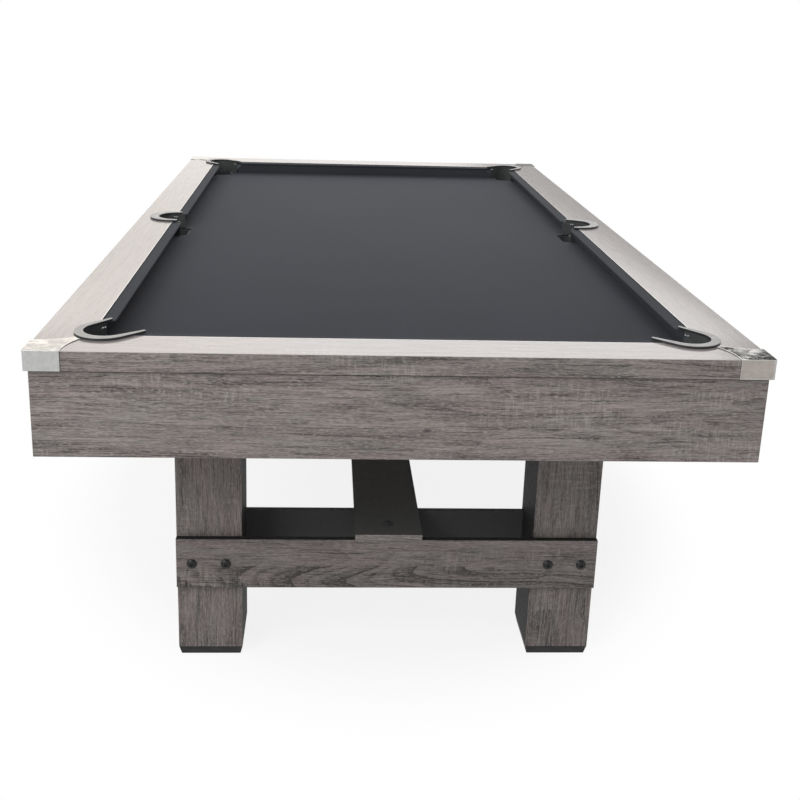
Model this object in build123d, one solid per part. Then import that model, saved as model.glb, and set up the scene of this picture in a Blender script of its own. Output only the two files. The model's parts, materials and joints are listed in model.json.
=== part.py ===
from build123d import *
import os
from math import acos, atan2, cos, hypot, pi, radians, sin, sqrt, tan

# A pool table with six drop pockets, on two leg frames joined by a stretcher.
# Millimetres, +Z up, the length along Y, the origin on the floor under the middle of the field.

# Playing field, nose to nose, and the height of the rail tops
play_width = 1118.0
play_length = 2236.0
table_height = 813.0

# Cushions: a triangular rubber section against the rail
cushion_depth = 26.0  # nose to rail
nose_height = 36.0  # above the cloth
nose_radius = 4.0
cushion_toe = 3.0  # lower back edge above the cloth
feather_drop = 0.5  # upper back edge below the rail top

# Top rails
rail_width = 100.0
rail_height = 42.0
rail_lip = 5.0  # rise of the outer edge above the seat, where the apron tucks in
rail_edge_radius = 2.0
mitre_gap = 0.4

# Bed and its cloth
bed_thickness = 25.0
bed_lap = 40.0  # reach of the bed under the rails
cloth_thickness = 1.0

# Pockets: a round hole, and a throat that widens towards the field
corner_radius = 44.0
corner_front_cut = 0.8  # how much of the round front the bucket's flat front cuts off
corner_setback = 4.0  # hole centre behind the meeting point of the nose lines
corner_flare = 8.0
corner_horn = 38.0  # reach of the iron past the rail's inner edge
corner_iron_side = 13.0
corner_iron_back = 15.0
side_radius = 50.0
side_front_cut = 15.0
side_setback = 25.0
side_flare = 14.0
side_horn = 13.0
side_iron_side = 13.0
side_iron_back = 22.0
iron_height = 5.5
iron_edge = 1.6  # bevel round the outside of the top
horn_tip = 1.6  # bevel on the corners of the tips
liner_wall = 3.0
liner_arm = 16.0  # reach of the liner past the rail's inner edge
liner_drop = 0.5  # liner top below the iron
liner_lift = 0.5  # liner arms above the cloth
bed_notch_gap = 3.0
liner_flat_count = 7  # flat walls round the back of the liner
bucket_depth = 126.0  # below the cloth
bucket_lip = 3.0  # front lip below the cloth
bucket_flat_count = 3  # flat walls on each side of the bucket's front

# Corner caps
cap_leg = 65.0
cap_wall = 2.0
cap_neck = 16.0
cap_hollow = 9.0  # depth of the curve in each inner edge
cap_corner_radius = 5.0
cap_edge = 0.8

# Aprons and the cleats behind them
apron_height = 167.5
apron_thickness = 18.0
apron_inset = 6.0
apron_reveal = 1.5  # shadow gap under the rail
board_edge = 0.8  # bevel on the outer edges of boards
cleat_width = 25.0
cleat_pocket_gap = 37.0

# Frame under the bed
frame_pocket_gap = 26.0  # clear of the pocket buckets
frame_height = 100.0
frame_beam = 30.0

# Legs
leg_width = 142.0
leg_depth = 142.0
leg_board = 15.0
leg_edge_gap = 11.5  # outer face in from the frame's side beam
leg_setback = 292.0  # outer face in from the table's end
leg_block = 40.0

# Levelling feet
foot_height = 21.0
foot_taper = 5.0
foot_gap = 0.3
stud_radius = 6.0
stud_length = 55.0
nut_flange_radius = 13.0
nut_flange = 2.0
nut_barrel_radius = 8.5
nut_barrel = 15.0

# Cross beams and stretcher
beam_height = 117.0
beam_bottom = 178.5
beam_thickness = 15.0
stretcher_width = 147.0
stretcher_thickness = 13.0
rib_thickness = 18.0
rib_height = 80.0
block_width = 100.0
block_height = 60.0

# Fasteners
bolt_radius = 4.0
bolt_head_radius = 11.0
bolt_head_edge = 2.0
bolt_head_height = 7.0
bolt_spacing = 74.0
hex_radius = 8.0
hex_height = 6.5
rail_bolt_grip = 25.0  # length inside the rail
rail_bolt_pitch = 300.0
hanger_radius = 5.0
hanger_reach = 60.0  # into the frame
hanger_grip = 30.0  # into the leg block
hanger_spacing = 60.0
stretcher_bolt_inset = 52.0  # from the stretcher's end
stretcher_bolt_grip = 40.0
rod_flat_count = 6  # flats on the hidden rods and round their holes
hex_flat_count = 6
head_flat_count = 8  # flats round the bolt heads
head_crown = 6.0  # radius of the flat on top of a bolt head

fit_gap = 0.3  # between pieces that are set into each other
hole_gap = 0.4  # round bolts and studs

# Levels and outlines that follow from the sizes above
cloth_top = table_height - rail_height
bed_top = cloth_top - cloth_thickness
bed_bottom = bed_top - bed_thickness
frame_bottom = bed_bottom - frame_height
half_width = play_width / 2
half_length = play_length / 2
rail_in_x = half_width + cushion_depth
rail_in_y = half_length + cushion_depth
rail_out_x = rail_in_x + rail_width
rail_out_y = rail_in_y + rail_width
apron_out_x = rail_out_x - apron_inset
apron_out_y = rail_out_y - apron_inset
apron_in_x = apron_out_x - apron_thickness
apron_in_y = apron_out_y - apron_thickness
lip_level = cloth_top + rail_lip
apron_top = lip_level - apron_reveal
beam_top = beam_bottom + beam_height
beam_middle = beam_bottom + beam_height / 2
corner_diagonal = corner_setback / sqrt(2)
frame_half_width = half_width + side_setback - side_radius - liner_wall - frame_pocket_gap
frame_half_length = half_length + corner_diagonal - corner_radius - liner_wall - frame_pocket_gap
leg_out_x = frame_half_width - frame_beam - leg_edge_gap
leg_in_x = leg_out_x - leg_width
leg_centre_x = leg_out_x - leg_width / 2
leg_out_y = rail_out_y - leg_setback
leg_in_y = leg_out_y - leg_depth
leg_middle_y = leg_out_y - leg_depth / 2
beam_out_y = leg_out_y + beam_thickness
beam_in_y = leg_in_y + beam_thickness
rail_bolt_x = rail_in_x + bed_lap / 2
rail_bolt_y = rail_in_y + bed_lap / 2
stretcher_top = beam_top + stretcher_thickness
bolt_offsets = (-bolt_spacing / 2, bolt_spacing / 2)
hanger_offsets = (-hanger_spacing / 2, hanger_spacing / 2)
corners = {
    "front_left": (-1, -1),
    "front_right": (1, -1),
    "rear_left": (-1, 1),
    "rear_right": (1, 1),
}
sides = {"left": -1, "right": 1}
ends = {"front": -1, "rear": 1}


def span(x, y, z):
    """A box between low and high values along each axis."""
    middle = [(low + high) / 2 for low, high in (x, y, z)]
    size = [high - low for low, high in (x, y, z)]
    return Pos(*middle) * Box(*size)


def raised(face, low, high):
    """A straight solid over a plan outline, between two levels."""
    return extrude(Pos(0, 0, low) * face, high - low, dir=(0, 0, 1))


def outline(*points):
    return make_face(Polyline(*points, close=True))


def rod(radius, x, y, low, high):
    """An upright rod, drawn with a few flats to keep the small pieces light."""
    return Pos(x, y, low) * extrude(RegularPolygon(radius, rod_flat_count), high - low)


def flats(radius, start, end, count):
    """Corners of flat walls round part of a circle."""
    angles = [start + (end - start) * step / count for step in range(count + 1)]
    return [(radius * cos(angle), radius * sin(angle)) for angle in angles]


def flipped(shape, sign_x, sign_y):
    """A shape of the right rear quarter, mirrored to the quarter with these signs."""
    if sign_x < 0:
        shape = mirror(shape, Plane.YZ)
    if sign_y < 0:
        shape = mirror(shape, Plane.XZ)
    return shape


def save(shape, node):
    export_step(shape, f"parts/{node}.step")


def save_group(shapes, node):
    solids = [solid for shape in shapes for solid in shape.solids()]
    save(Compound(children=solids), node)


class Pocket:
    """A pocket of the right rear quarter. Its own +X points at the field, with the hole at the middle."""

    def __init__(self, x, y, turn, radius, front_cut, flare, edge, horn, iron_side, iron_back):
        self.place = Pos(x, y, 0) * Rot(0, 0, turn)
        self.radius = radius
        self.front = radius - front_cut
        self.flare = radians(flare)
        self.edge = edge
        self.horn = edge + horn
        self.arm = edge + liner_arm
        self.iron_side = iron_side
        self.iron_back = iron_back

    def opening(self, grow, reach, flare=None):
        """Plan of the hole and throat, grown evenly outwards."""
        angle = self.flare if flare is None else flare
        radius = self.radius + grow
        start = (-radius * sin(angle), radius * cos(angle))
        end = (start[0], -start[1])
        mouth = radius / cos(angle) + reach * tan(angle)
        arc = ThreePointArc(start, (-radius, 0), end)
        return make_face([arc, Polyline(end, (reach, -mouth), (reach, mouth), start)])

    def back_bends(self, grow):
        """Corners of the liner's flat walls round the back of the hole."""
        half = pi / 2 - self.flare
        return flats(self.radius + grow, pi - half, pi + half, liner_flat_count)

    def front_bends(self, grow):
        """Corners of the bucket's front: rounded at the sides and straight across towards the field."""
        radius = self.radius + grow
        half = pi / 2 + self.flare
        reach = acos((self.front + grow) / radius)
        one_side = flats(radius, -half, -reach, bucket_flat_count)
        return one_side + flats(radius, reach, half, bucket_flat_count)

    def cut(self):
        """What the rails and cushions give up to the pocket."""
        grow = liner_wall + fit_gap
        reach = self.horn + play_width / 8
        mouth = (self.radius + grow) / cos(self.flare) + reach * tan(self.flare)
        hole = outline(*self.back_bends(grow), (reach, -mouth), (reach, mouth))
        return self.place * raised(hole, 0, table_height + rail_height)

    def notch(self):
        """What the bed gives up: a slot that runs out at its edge."""
        front = self.front_bends(liner_wall + bed_notch_gap)
        slot = outline((-2 * rail_width, front[0][1]), *front, (-2 * rail_width, front[-1][1]))
        return self.place * raised(slot, 0, table_height)

    def iron_face(self, grow):
        """Outer plan of the iron: a wide back that runs out into two narrow horns."""
        shift = self.iron_back - self.iron_side
        return Pos(-shift, 0) * self.opening(self.iron_side + grow, self.horn + shift, 0)

    def iron(self):
        level = (table_height, table_height + iron_height)
        plate = raised(self.iron_face(0), *level)
        tips = plate.edges().filter_by(Axis.Z).group_by(Axis.X)[-1]
        plate = chamfer(tips, horn_tip)
        rims = plate.faces().sort_by(Axis.Z)[-1].edges()
        plate = chamfer(rims, iron_edge)
        return self.place * (plate - raised(self.opening(0, self.horn + liner_arm), *level))

    def liner(self):
        """Back wall and arms against the rails, and the bucket that hangs through the bed."""
        lip = cloth_top - bucket_lip
        floor = cloth_top - bucket_depth
        arms_low = cloth_top + liner_lift
        mouth_in = self.radius / cos(self.flare) + self.arm * tan(self.flare)
        mouth_out = mouth_in + liner_wall / cos(self.flare)
        inner = self.back_bends(0)
        outer = self.back_bends(liner_wall)
        back = outline(*outer, *reversed(inner))
        arm_a = [(self.arm, -mouth_out), (self.arm, -mouth_in)]
        arm_b = [(self.arm, mouth_in), (self.arm, mouth_out)]
        plan = outline(*outer, *arm_a, *reversed(inner), *arm_b)
        wall = raised(plan, arms_low, table_height - liner_drop)
        bucket = raised(outline(*outer[:-1], *self.front_bends(liner_wall)[:-1]), floor, lip)
        bucket -= raised(outline(*inner[:-1], *self.front_bends(0)[:-1]), floor + liner_wall, lip)
        return self.place * (wall + raised(back, lip, arms_low) + bucket)


corner_slope = tan(radians(corner_flare))
corner_reach = corner_radius / cos(radians(corner_flare)) + sqrt(2) * (corner_diagonal - cushion_depth)
corner_pocket = Pocket(
    half_width + corner_diagonal,
    half_length + corner_diagonal,
    225,
    corner_radius,
    corner_front_cut,
    corner_flare,
    corner_reach / (1 - corner_slope),
    corner_horn,
    corner_iron_side,
    corner_iron_back,
)
side_pocket = Pocket(
    half_width + side_setback,
    0,
    180,
    side_radius,
    side_front_cut,
    side_flare,
    side_setback - cushion_depth,
    side_horn,
    side_iron_side,
    side_iron_back,
)


def rail_bolt_spots():
    """Plan places of the bolts that hold the rails down on the bed."""
    for sign in (-1, 1):
        for step in (-2.5, -1.5, -0.5, 0.5, 1.5, 2.5):
            yield sign * rail_bolt_x, step * rail_bolt_pitch
        for step in (-1, 0, 1):
            yield step * rail_bolt_pitch, sign * rail_bolt_y


def rail_blank(out_a, in_a, out_b, in_b):
    """Plan of a board with mitred ends: a runs across it, b along it."""
    gap = mitre_gap / sqrt(2)
    return [(out_a, -out_b + gap), (out_a, out_b - gap), (in_a, in_b - gap), (in_a, -in_b + gap)]


def rails():
    side_plan = rail_blank(rail_out_x, rail_in_x, rail_out_y, rail_in_y)
    end_plan = [(y, x) for x, y in rail_blank(rail_out_y, rail_in_y, rail_out_x, rail_in_x)]
    side = raised(outline(*side_plan), cloth_top, table_height)
    end = raised(outline(*end_plan), cloth_top, table_height)
    side = fillet(side.faces().sort_by(Axis.X)[-1].edges().sort_by(Axis.Z)[-1], rail_edge_radius)
    end = fillet(end.faces().sort_by(Axis.Y)[-1].edges().sort_by(Axis.Z)[-1], rail_edge_radius)
    side -= span((apron_in_x - fit_gap, rail_out_x), (-rail_out_y, rail_out_y), (cloth_top, lip_level))
    end -= span((-rail_out_x, rail_out_x), (apron_in_y - fit_gap, rail_out_y), (cloth_top, lip_level))
    cut = corner_pocket.cut()
    side = side - cut - mirror(cut, Plane.XZ) - side_pocket.cut()
    end = end - cut - mirror(cut, Plane.YZ)
    hole_top = cloth_top + rail_bolt_grip + hole_gap
    for x, y in rail_bolt_spots():
        hole = rod(bolt_radius + hole_gap, x, y, cloth_top, hole_top)
        if x == rail_bolt_x:
            side = side - hole
        elif y == rail_bolt_y:
            end = end - hole
    for name, sign in sides.items():
        save(flipped(side, sign, 1), f"side_rail_{name}")
    for name, sign in ends.items():
        save(flipped(end, 1, sign), f"end_rail_{name}")


def cushion_section():
    """Rounded nose and straight faces back to the rail: distance behind the nose, then height."""
    middle = (nose_radius, cloth_top + nose_height)
    toe = (cushion_depth, cloth_top + cushion_toe)
    crest = (cushion_depth, table_height - feather_drop)
    touches = []
    for (along, level), side in ((crest, 1), (toe, -1)):
        run = along - middle[0]
        rise = level - middle[1]
        angle = atan2(rise, run) + side * acos(nose_radius / hypot(run, rise))
        touches.append((middle[0] + nose_radius * cos(angle), middle[1] + nose_radius * sin(angle)))
    nose = ThreePointArc(touches[0], (0, middle[1]), touches[1])
    return make_face([nose, Polyline(touches[1], toe, crest, touches[0])])


def cushions():
    section = cushion_section()
    cut = corner_pocket.cut()
    side = Pos(half_width, 0, 0) * extrude(Plane.XZ * section, half_length, dir=(0, 1, 0))
    side = side - cut - side_pocket.cut()
    end = extrude(Plane.YZ * section, play_width, dir=(1, 0, 0))
    end = Pos(-half_width, half_length, 0) * end - cut - mirror(cut, Plane.YZ)
    for name, (sign_x, sign_y) in corners.items():
        save(flipped(side, sign_x, sign_y), f"cushion_{name}")
    for name, sign in ends.items():
        save(flipped(end, 1, sign), f"cushion_{name}_end")


def bed():
    half_x = rail_in_x + bed_lap
    half_y = rail_in_y + bed_lap
    plan = Rectangle(2 * half_x, 2 * half_y)
    board = raised(plan, bed_bottom, bed_top)
    cloth = raised(plan, bed_top, cloth_top)
    cuts = [flipped(corner_pocket.notch(), *signs) for signs in corners.values()]
    cuts += [flipped(side_pocket.notch(), sign, 1) for sign in sides.values()]
    cuts += [rod(bolt_radius + hole_gap, x, y, frame_bottom, table_height) for x, y in rail_bolt_spots()]
    for cut in cuts:
        board = board - cut
        cloth = cloth - cut
    save(board, "bed_board")
    save(cloth, "bed_cloth")


def pocket_sets():
    places = {name: (corner_pocket, signs) for name, signs in corners.items()}
    places |= {name: (side_pocket, (sign, 1)) for name, sign in sides.items()}
    for name, (pocket, signs) in places.items():
        save(flipped(pocket.iron(), *signs), f"pocket_iron_{name}")
        save(flipped(pocket.liner(), *signs), f"pocket_liner_{name}")


def corner_caps():
    """A bright shell over each rail mitre, with a neck that reaches the pocket iron."""
    out_x = rail_out_x + cap_wall
    out_y = rail_out_y + cap_wall
    low_x = rail_out_x - cap_leg
    low_y = rail_out_y - cap_leg
    neck = cap_neck / 2 / sqrt(2)
    back = (corner_radius + corner_iron_back - iron_edge) / sqrt(2) + corner_diagonal
    neck_a = (half_width + back + neck, half_length + back - neck)
    neck_b = (half_width + back - neck, half_length + back + neck)
    hollow = cap_hollow / sqrt(2)
    middle_a = ((out_x + neck_a[0]) / 2 - hollow / 2, (low_y + neck_a[1]) / 2 + hollow)
    middle_b = ((low_x + neck_b[0]) / 2 + hollow, (out_y + neck_b[1]) / 2 - hollow / 2)
    plan = make_face(
        [
            Polyline((low_x, out_y), (out_x, out_y), (out_x, low_y)),
            ThreePointArc((out_x, low_y), middle_a, neck_a),
            Line(neck_a, neck_b),
            ThreePointArc(neck_b, middle_b, (low_x, out_y)),
        ]
    )
    top = table_height + cap_wall
    cap = raised(plan, table_height, top)
    cap += span((rail_out_x, out_x), (low_y, out_y), (lip_level, top))
    cap += span((low_x, out_x), (rail_out_y, out_y), (lip_level, top))
    uprights = cap.edges().filter_by(Axis.Z).sort_by(Axis((0, 0, 0), (1, 1, 0)))
    cap = fillet(uprights[-1], cap_corner_radius)
    rims = cap.faces().sort_by(Axis.Z)[-1].edges()
    cap = chamfer(rims, cap_edge)
    cap -= corner_pocket.place * raised(corner_pocket.iron_face(fit_gap), 0, top + iron_height)
    for name, signs in corners.items():
        save(flipped(cap, *signs), f"corner_cap_{name}")


def aprons():
    low = apron_top - apron_height
    side = raised(outline(*rail_blank(apron_out_x, apron_in_x, apron_out_y, apron_in_y)), low, apron_top)
    end_plan = [(y, x) for x, y in rail_blank(apron_out_y, apron_in_y, apron_out_x, apron_in_x)]
    end = raised(outline(*end_plan), low, apron_top)
    side = chamfer(side.faces().sort_by(Axis.X)[-1].edges().sort_by(Axis.Z)[0], board_edge)
    end = chamfer(end.faces().sort_by(Axis.Y)[-1].edges().sort_by(Axis.Z)[0], board_edge)
    for name, sign in sides.items():
        save(flipped(side, sign, 1), f"side_apron_{name}")
    for name, sign in ends.items():
        save(flipped(end, 1, sign), f"end_apron_{name}")
    level = (cloth_top - cleat_width, cloth_top)
    start = side_radius + liner_wall + cleat_pocket_gap
    side_cleat = span((apron_in_x - cleat_width, apron_in_x), (start, rail_in_y), level)
    end_cleat = span((-rail_in_x, rail_in_x), (apron_in_y - cleat_width, apron_in_y), level)
    cleats = [flipped(side_cleat, *signs) for signs in corners.values()]
    cleats += [flipped(end_cleat, 1, sign) for sign in ends.values()]
    save_group(cleats, "apron_cleats")


def hanger_spots():
    """Plan places of the hanger bolts of the right rear leg."""
    return [(leg_centre_x + offset, leg_middle_y) for offset in hanger_offsets]


def bed_frame():
    level = (frame_bottom, bed_bottom)
    inner = frame_half_width - frame_beam
    beam = span((inner, frame_half_width), (-frame_half_length, frame_half_length), level)
    save_group([flipped(beam, sign, 1) for sign in sides.values()], "frame_side_beams")
    cross = span((-inner, inner), (-frame_beam / 2, frame_beam / 2), level)
    end_beam = Pos(0, frame_half_length - frame_beam / 2, 0) * cross
    leg_beam = Pos(0, leg_middle_y, 0) * cross
    for x, y in hanger_spots():
        hole = rod(hanger_radius + hole_gap, x, y, frame_bottom, frame_bottom + hanger_reach + hole_gap)
        leg_beam = leg_beam - hole - mirror(hole, Plane.YZ)
    beams = [cross]
    for sign in ends.values():
        beams += [flipped(end_beam, 1, sign), flipped(leg_beam, 1, sign)]
    save_group(beams, "frame_cross_beams")
    bolts = []
    for x, y in hanger_spots():
        hanger = rod(hanger_radius, x, y, frame_bottom - hanger_grip, frame_bottom + hanger_reach)
        bolts += [flipped(hanger, *signs) for signs in corners.values()]
    for x, y in rail_bolt_spots():
        head_low = bed_bottom - hex_height
        head = Pos(x, y, head_low) * extrude(RegularPolygon(hex_radius, hex_flat_count), hex_height)
        bolts.append(head + rod(bolt_radius, x, y, head_low, cloth_top + rail_bolt_grip))
    save_group(bolts, "frame_bolts")


def beam_bolt_spots():
    return [(leg_centre_x + offset, beam_middle) for offset in bolt_offsets]


def cross_hole(x, z):
    """Clear hole along the table for one beam bolt of the right rear leg."""
    length = beam_out_y - leg_in_y
    drill = rod(bolt_radius + hole_gap, 0, 0, -length, length)
    return Pos(x, (beam_out_y + leg_in_y) / 2, z) * Rot(90, 0, 0) * drill


def legs():
    """Each leg is a box of two folded boards: laminate outside, black towards the middle."""
    in_x = leg_in_x + leg_board
    out_x = leg_out_x - leg_board
    in_y = leg_in_y + leg_board
    out_y = leg_out_y - leg_board
    face_plan = [(leg_in_x, leg_out_y), (leg_out_x - board_edge, leg_out_y)]
    face_plan += [(leg_out_x, leg_out_y - board_edge), (leg_out_x, leg_in_y)]
    face_plan += [(out_x, in_y), (out_x, out_y), (in_x, out_y)]
    back_plan = [(leg_in_x, leg_out_y), (in_x, out_y), (in_x, in_y), (out_x, in_y), (leg_out_x, leg_in_y)]
    back_plan += [(leg_in_x + board_edge, leg_in_y), (leg_in_x, leg_in_y + board_edge)]
    face = raised(outline(*face_plan), foot_height, frame_bottom)
    back = raised(outline(*back_plan), foot_height, frame_bottom)
    for spot in beam_bolt_spots():
        face = face - cross_hole(*spot)
        back = back - cross_hole(*spot)
    inside = ((in_x, in_x + leg_width - 2 * leg_board), (in_y, out_y))
    top_block = span(*inside, (frame_bottom - leg_block, frame_bottom))
    hole_low = frame_bottom - hanger_grip - hole_gap
    for x, y in hanger_spots():
        top_block -= rod(hanger_radius + hole_gap, x, y, hole_low, frame_bottom)
    low = foot_height
    seat = low + nut_flange + fit_gap
    low_block = span(*inside, (low, low + leg_block))
    low_block -= rod(nut_flange_radius + fit_gap, leg_centre_x, leg_middle_y, low, seat)
    barrel_top = seat + nut_barrel
    low_block -= rod(nut_barrel_radius + fit_gap, leg_centre_x, leg_middle_y, low, barrel_top + fit_gap)
    low_block -= rod(stud_radius + hole_gap, leg_centre_x, leg_middle_y, low, low + leg_block)
    nut = rod(nut_flange_radius, leg_centre_x, leg_middle_y, seat - nut_flange, seat)
    nut += rod(nut_barrel_radius, leg_centre_x, leg_middle_y, seat, barrel_top)
    nut -= rod(stud_radius + hole_gap, leg_centre_x, leg_middle_y, low, barrel_top)
    for name, signs in corners.items():
        save(flipped(face, *signs), f"leg_face_{name}")
        save(flipped(back, *signs), f"leg_back_{name}")
    blocks = [flipped(block, *signs) for block in (top_block, low_block) for signs in corners.values()]
    save_group(blocks, "leg_blocks")
    save_group([flipped(nut, *signs) for signs in corners.values()], "foot_nuts")


def feet():
    """Tapered feet on threaded studs, screwed right in at rest."""
    top = foot_height - foot_gap
    small = Rectangle(leg_width - 2 * foot_taper, leg_depth - 2 * foot_taper)
    pad = loft([small, Pos(0, 0, top) * Rectangle(leg_width, leg_depth)])
    foot = Pos(leg_centre_x, leg_middle_y, 0) * pad
    foot += rod(stud_radius, leg_centre_x, leg_middle_y, foot_height / 2, foot_height + stud_length)
    for name, signs in corners.items():
        save(flipped(foot, *signs), f"levelling_foot_{name}")


def domed_bolt(length):
    """A bolt that points down from its seat, with a crowned head above."""
    rim = RegularPolygon(bolt_head_radius, head_flat_count)
    crown = RegularPolygon(head_crown, head_flat_count)
    head = extrude(rim, bolt_head_edge)
    head += loft([Pos(0, 0, bolt_head_edge) * rim, Pos(0, 0, bolt_head_height) * crown], ruled=True)
    return head + rod(bolt_radius, 0, 0, -length, 0)


def base():
    """Outer beams bolted across the legs, inner ones between them, and the stretcher on top."""
    level = (beam_bottom, beam_top)
    outer = span((-leg_out_x, leg_out_x), (leg_out_y, beam_out_y), level)
    inner = span((-leg_in_x, leg_in_x), (leg_in_y, beam_in_y), level)
    outer = chamfer(outer.faces().sort_by(Axis.Y)[-1].edges(), board_edge)
    inner = chamfer(inner.faces().sort_by(Axis.Y)[0].edges().filter_by(Axis.X), board_edge)
    bolts = []
    nuts = []
    bolt = Rot(-90, 0, 0) * domed_bolt(beam_out_y - leg_in_y + hex_height)
    nut_hole = RegularPolygon(bolt_radius + hole_gap, rod_flat_count)
    nut = extrude(RegularPolygon(hex_radius, hex_flat_count) - nut_hole, hex_height)
    for x, z in beam_bolt_spots():
        hole = cross_hole(x, z)
        outer = outer - hole - mirror(hole, Plane.YZ)
        bolts += [flipped(Pos(x, beam_out_y, z) * bolt, *signs) for signs in corners.values()]
        nuts += [flipped(Pos(x, leg_in_y, z) * Rot(90, 0, 0) * nut, *signs) for signs in corners.values()]
    bolt_y = beam_out_y - stretcher_bolt_inset
    long_bolt = Pos(0, bolt_y, stretcher_top) * domed_bolt(stretcher_thickness + stretcher_bolt_grip)
    drill_low = beam_top - stretcher_bolt_grip - hole_gap
    drill = rod(bolt_radius + hole_gap, 0, bolt_y, drill_low, stretcher_top)
    bolts += [flipped(long_bolt, 1, sign) for sign in ends.values()]
    half = stretcher_width / 2
    board = span((-half, half), (-beam_out_y, beam_out_y), (beam_top, stretcher_top))
    board = board - drill - mirror(drill, Plane.XZ)
    half = rib_thickness / 2
    rib = span((-half, half), (-leg_in_y, leg_in_y), (beam_top - rib_height, beam_top))
    half = block_width / 2
    block = span((-half, half), (beam_in_y, leg_out_y), (beam_top - block_height, beam_top)) - drill
    for name, sign in ends.items():
        save(flipped(outer, 1, sign), f"outer_beam_{name}")
        save(flipped(inner, 1, sign), f"inner_beam_{name}")
    save(board, "stretcher_board")
    save(rib, "stretcher_rib")
    save_group([flipped(block, 1, sign) for sign in ends.values()], "stretcher_blocks")
    save_group(bolts, "base_bolts")
    save_group(nuts, "base_nuts")


def main():
    os.makedirs("parts", exist_ok=True)
    bed_frame()
    legs()
    feet()
    base()
    bed()
    aprons()
    rails()
    cushions()
    pocket_sets()
    corner_caps()


main()
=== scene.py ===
import json
from math import acos, asin, atan2, ceil, cos, hypot, pi, radians, sin, sqrt, tan
import bpy
from mathutils import Matrix, Vector


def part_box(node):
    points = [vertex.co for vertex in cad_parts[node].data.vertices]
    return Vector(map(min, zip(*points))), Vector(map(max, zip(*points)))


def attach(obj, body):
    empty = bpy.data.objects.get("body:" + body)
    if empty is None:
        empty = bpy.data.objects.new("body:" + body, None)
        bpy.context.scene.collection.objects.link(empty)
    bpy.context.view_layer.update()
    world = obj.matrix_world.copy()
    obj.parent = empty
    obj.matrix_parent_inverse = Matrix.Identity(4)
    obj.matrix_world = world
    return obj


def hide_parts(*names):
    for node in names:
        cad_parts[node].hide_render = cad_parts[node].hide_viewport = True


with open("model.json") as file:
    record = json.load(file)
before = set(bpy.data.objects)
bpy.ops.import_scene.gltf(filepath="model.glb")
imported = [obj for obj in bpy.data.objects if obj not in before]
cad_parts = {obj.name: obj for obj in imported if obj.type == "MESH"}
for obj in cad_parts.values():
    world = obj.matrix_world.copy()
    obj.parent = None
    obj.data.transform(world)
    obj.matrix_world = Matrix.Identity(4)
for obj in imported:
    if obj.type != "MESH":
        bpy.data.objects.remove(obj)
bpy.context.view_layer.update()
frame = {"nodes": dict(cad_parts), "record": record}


# Levelling feet: a black moulded pad under each leg, hollowed below so that its rim carries the load.
# Each pad is fixed to a zinc-plated threaded stud, which screws into a nut inside the leg.
corners = {"front_left": (-1, -1), "front_right": (1, -1), "rear_left": (-1, 1), "rear_right": (1, 1)}
pad_height = 0.0207
pad_taper = 0.005
pad_rounding = 0.0014
pad_rim = 0.011
pad_hollow = 0.003
stud_core = 0.0051
stud_low = 0.010
stud_top = 0.0755
stud_sides = 16
stud_chamfer = 0.001
thread_pitch = 0.00175
thread_turns = 36
zinc_tones = ((0.42, 0.44, 0.46), (0.66, 0.67, 0.66))


def object_mode():
    """Leaves edit mode."""
    if bpy.context.object and bpy.context.object.mode != "OBJECT":
        bpy.ops.object.mode_set(mode="OBJECT")


def take(piece):
    """Makes a piece the only one selected, in object mode."""
    object_mode()
    bpy.ops.object.select_all(action="DESELECT")
    piece.select_set(True)
    bpy.context.view_layer.objects.active = piece


def settle(piece, move=(0, 0, 0), turn=(0, 0, 0)):
    """Turns a piece about the origin, moves it, and puts its place into its mesh."""
    take(piece)
    piece.rotation_euler = turn
    piece.location = move
    bpy.ops.object.transform_apply(location=True, rotation=True, scale=True)


def begin(name, add, **settings):
    """Adds a primitive with nothing else selected, and names it."""
    object_mode()
    bpy.ops.object.select_all(action="DESELECT")
    add(**settings)
    piece = bpy.context.active_object
    piece.name = name
    piece.data.name = name
    bpy.ops.object.transform_apply(location=True, rotation=True, scale=True)
    return piece


def block(name, middle, size, turn=0.0):
    """A block to shape further."""
    cube = bpy.ops.mesh.primitive_cube_add
    return begin(name, cube, size=1, location=middle, rotation=(0, 0, turn), scale=size)


def rod(name, sides, radius, height, middle=0.0):
    """An upright rod to shape further."""
    cylinder = bpy.ops.mesh.primitive_cylinder_add
    return begin(name, cylinder, vertices=sides, radius=radius, depth=height, location=(0, 0, middle))


def edit_all(piece):
    """Goes into edit mode with the whole piece selected."""
    take(piece)
    bpy.ops.object.mode_set(mode="EDIT")
    bpy.ops.mesh.select_all(action="SELECT")


def pick(piece, kind, wanted):
    """Goes into edit mode with what passes a test of its place and direction selected."""
    take(piece)
    bpy.ops.object.mode_set(mode="EDIT")
    bpy.ops.mesh.select_all(action="DESELECT")
    bpy.ops.mesh.select_mode(type=kind)
    bpy.ops.object.mode_set(mode="OBJECT")
    mesh = piece.data
    for item in {"VERT": mesh.vertices, "EDGE": mesh.edges, "FACE": mesh.polygons}[kind]:
        ends = [item.co] if kind == "VERT" else [mesh.vertices[index].co for index in item.vertices]
        way = (ends[1] - ends[0]).normalized() if kind == "EDGE" else item.normal
        item.select = bool(wanted(sum(ends, Vector()) / len(ends), way))
    bpy.ops.object.mode_set(mode="EDIT")


def extrude(way):
    """Draws what is selected out by a distance."""
    bpy.ops.mesh.extrude_region_move(TRANSFORM_OT_translate={"value": way})


def modify(piece, kind, **settings):
    """Gives a piece a modifier and applies it."""
    take(piece)
    modifier = piece.modifiers.new(kind.title(), kind)
    for key, value in settings.items():
        setattr(modifier, key, value)
    bpy.ops.object.modifier_apply(modifier=modifier.name)


def ease(piece, width, segments=2, angle=32):
    """Rounds the sharp edges of a piece."""
    modify(piece, "BEVEL", width=width, segments=segments, limit_method="ANGLE", angle_limit=radians(angle))


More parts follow.
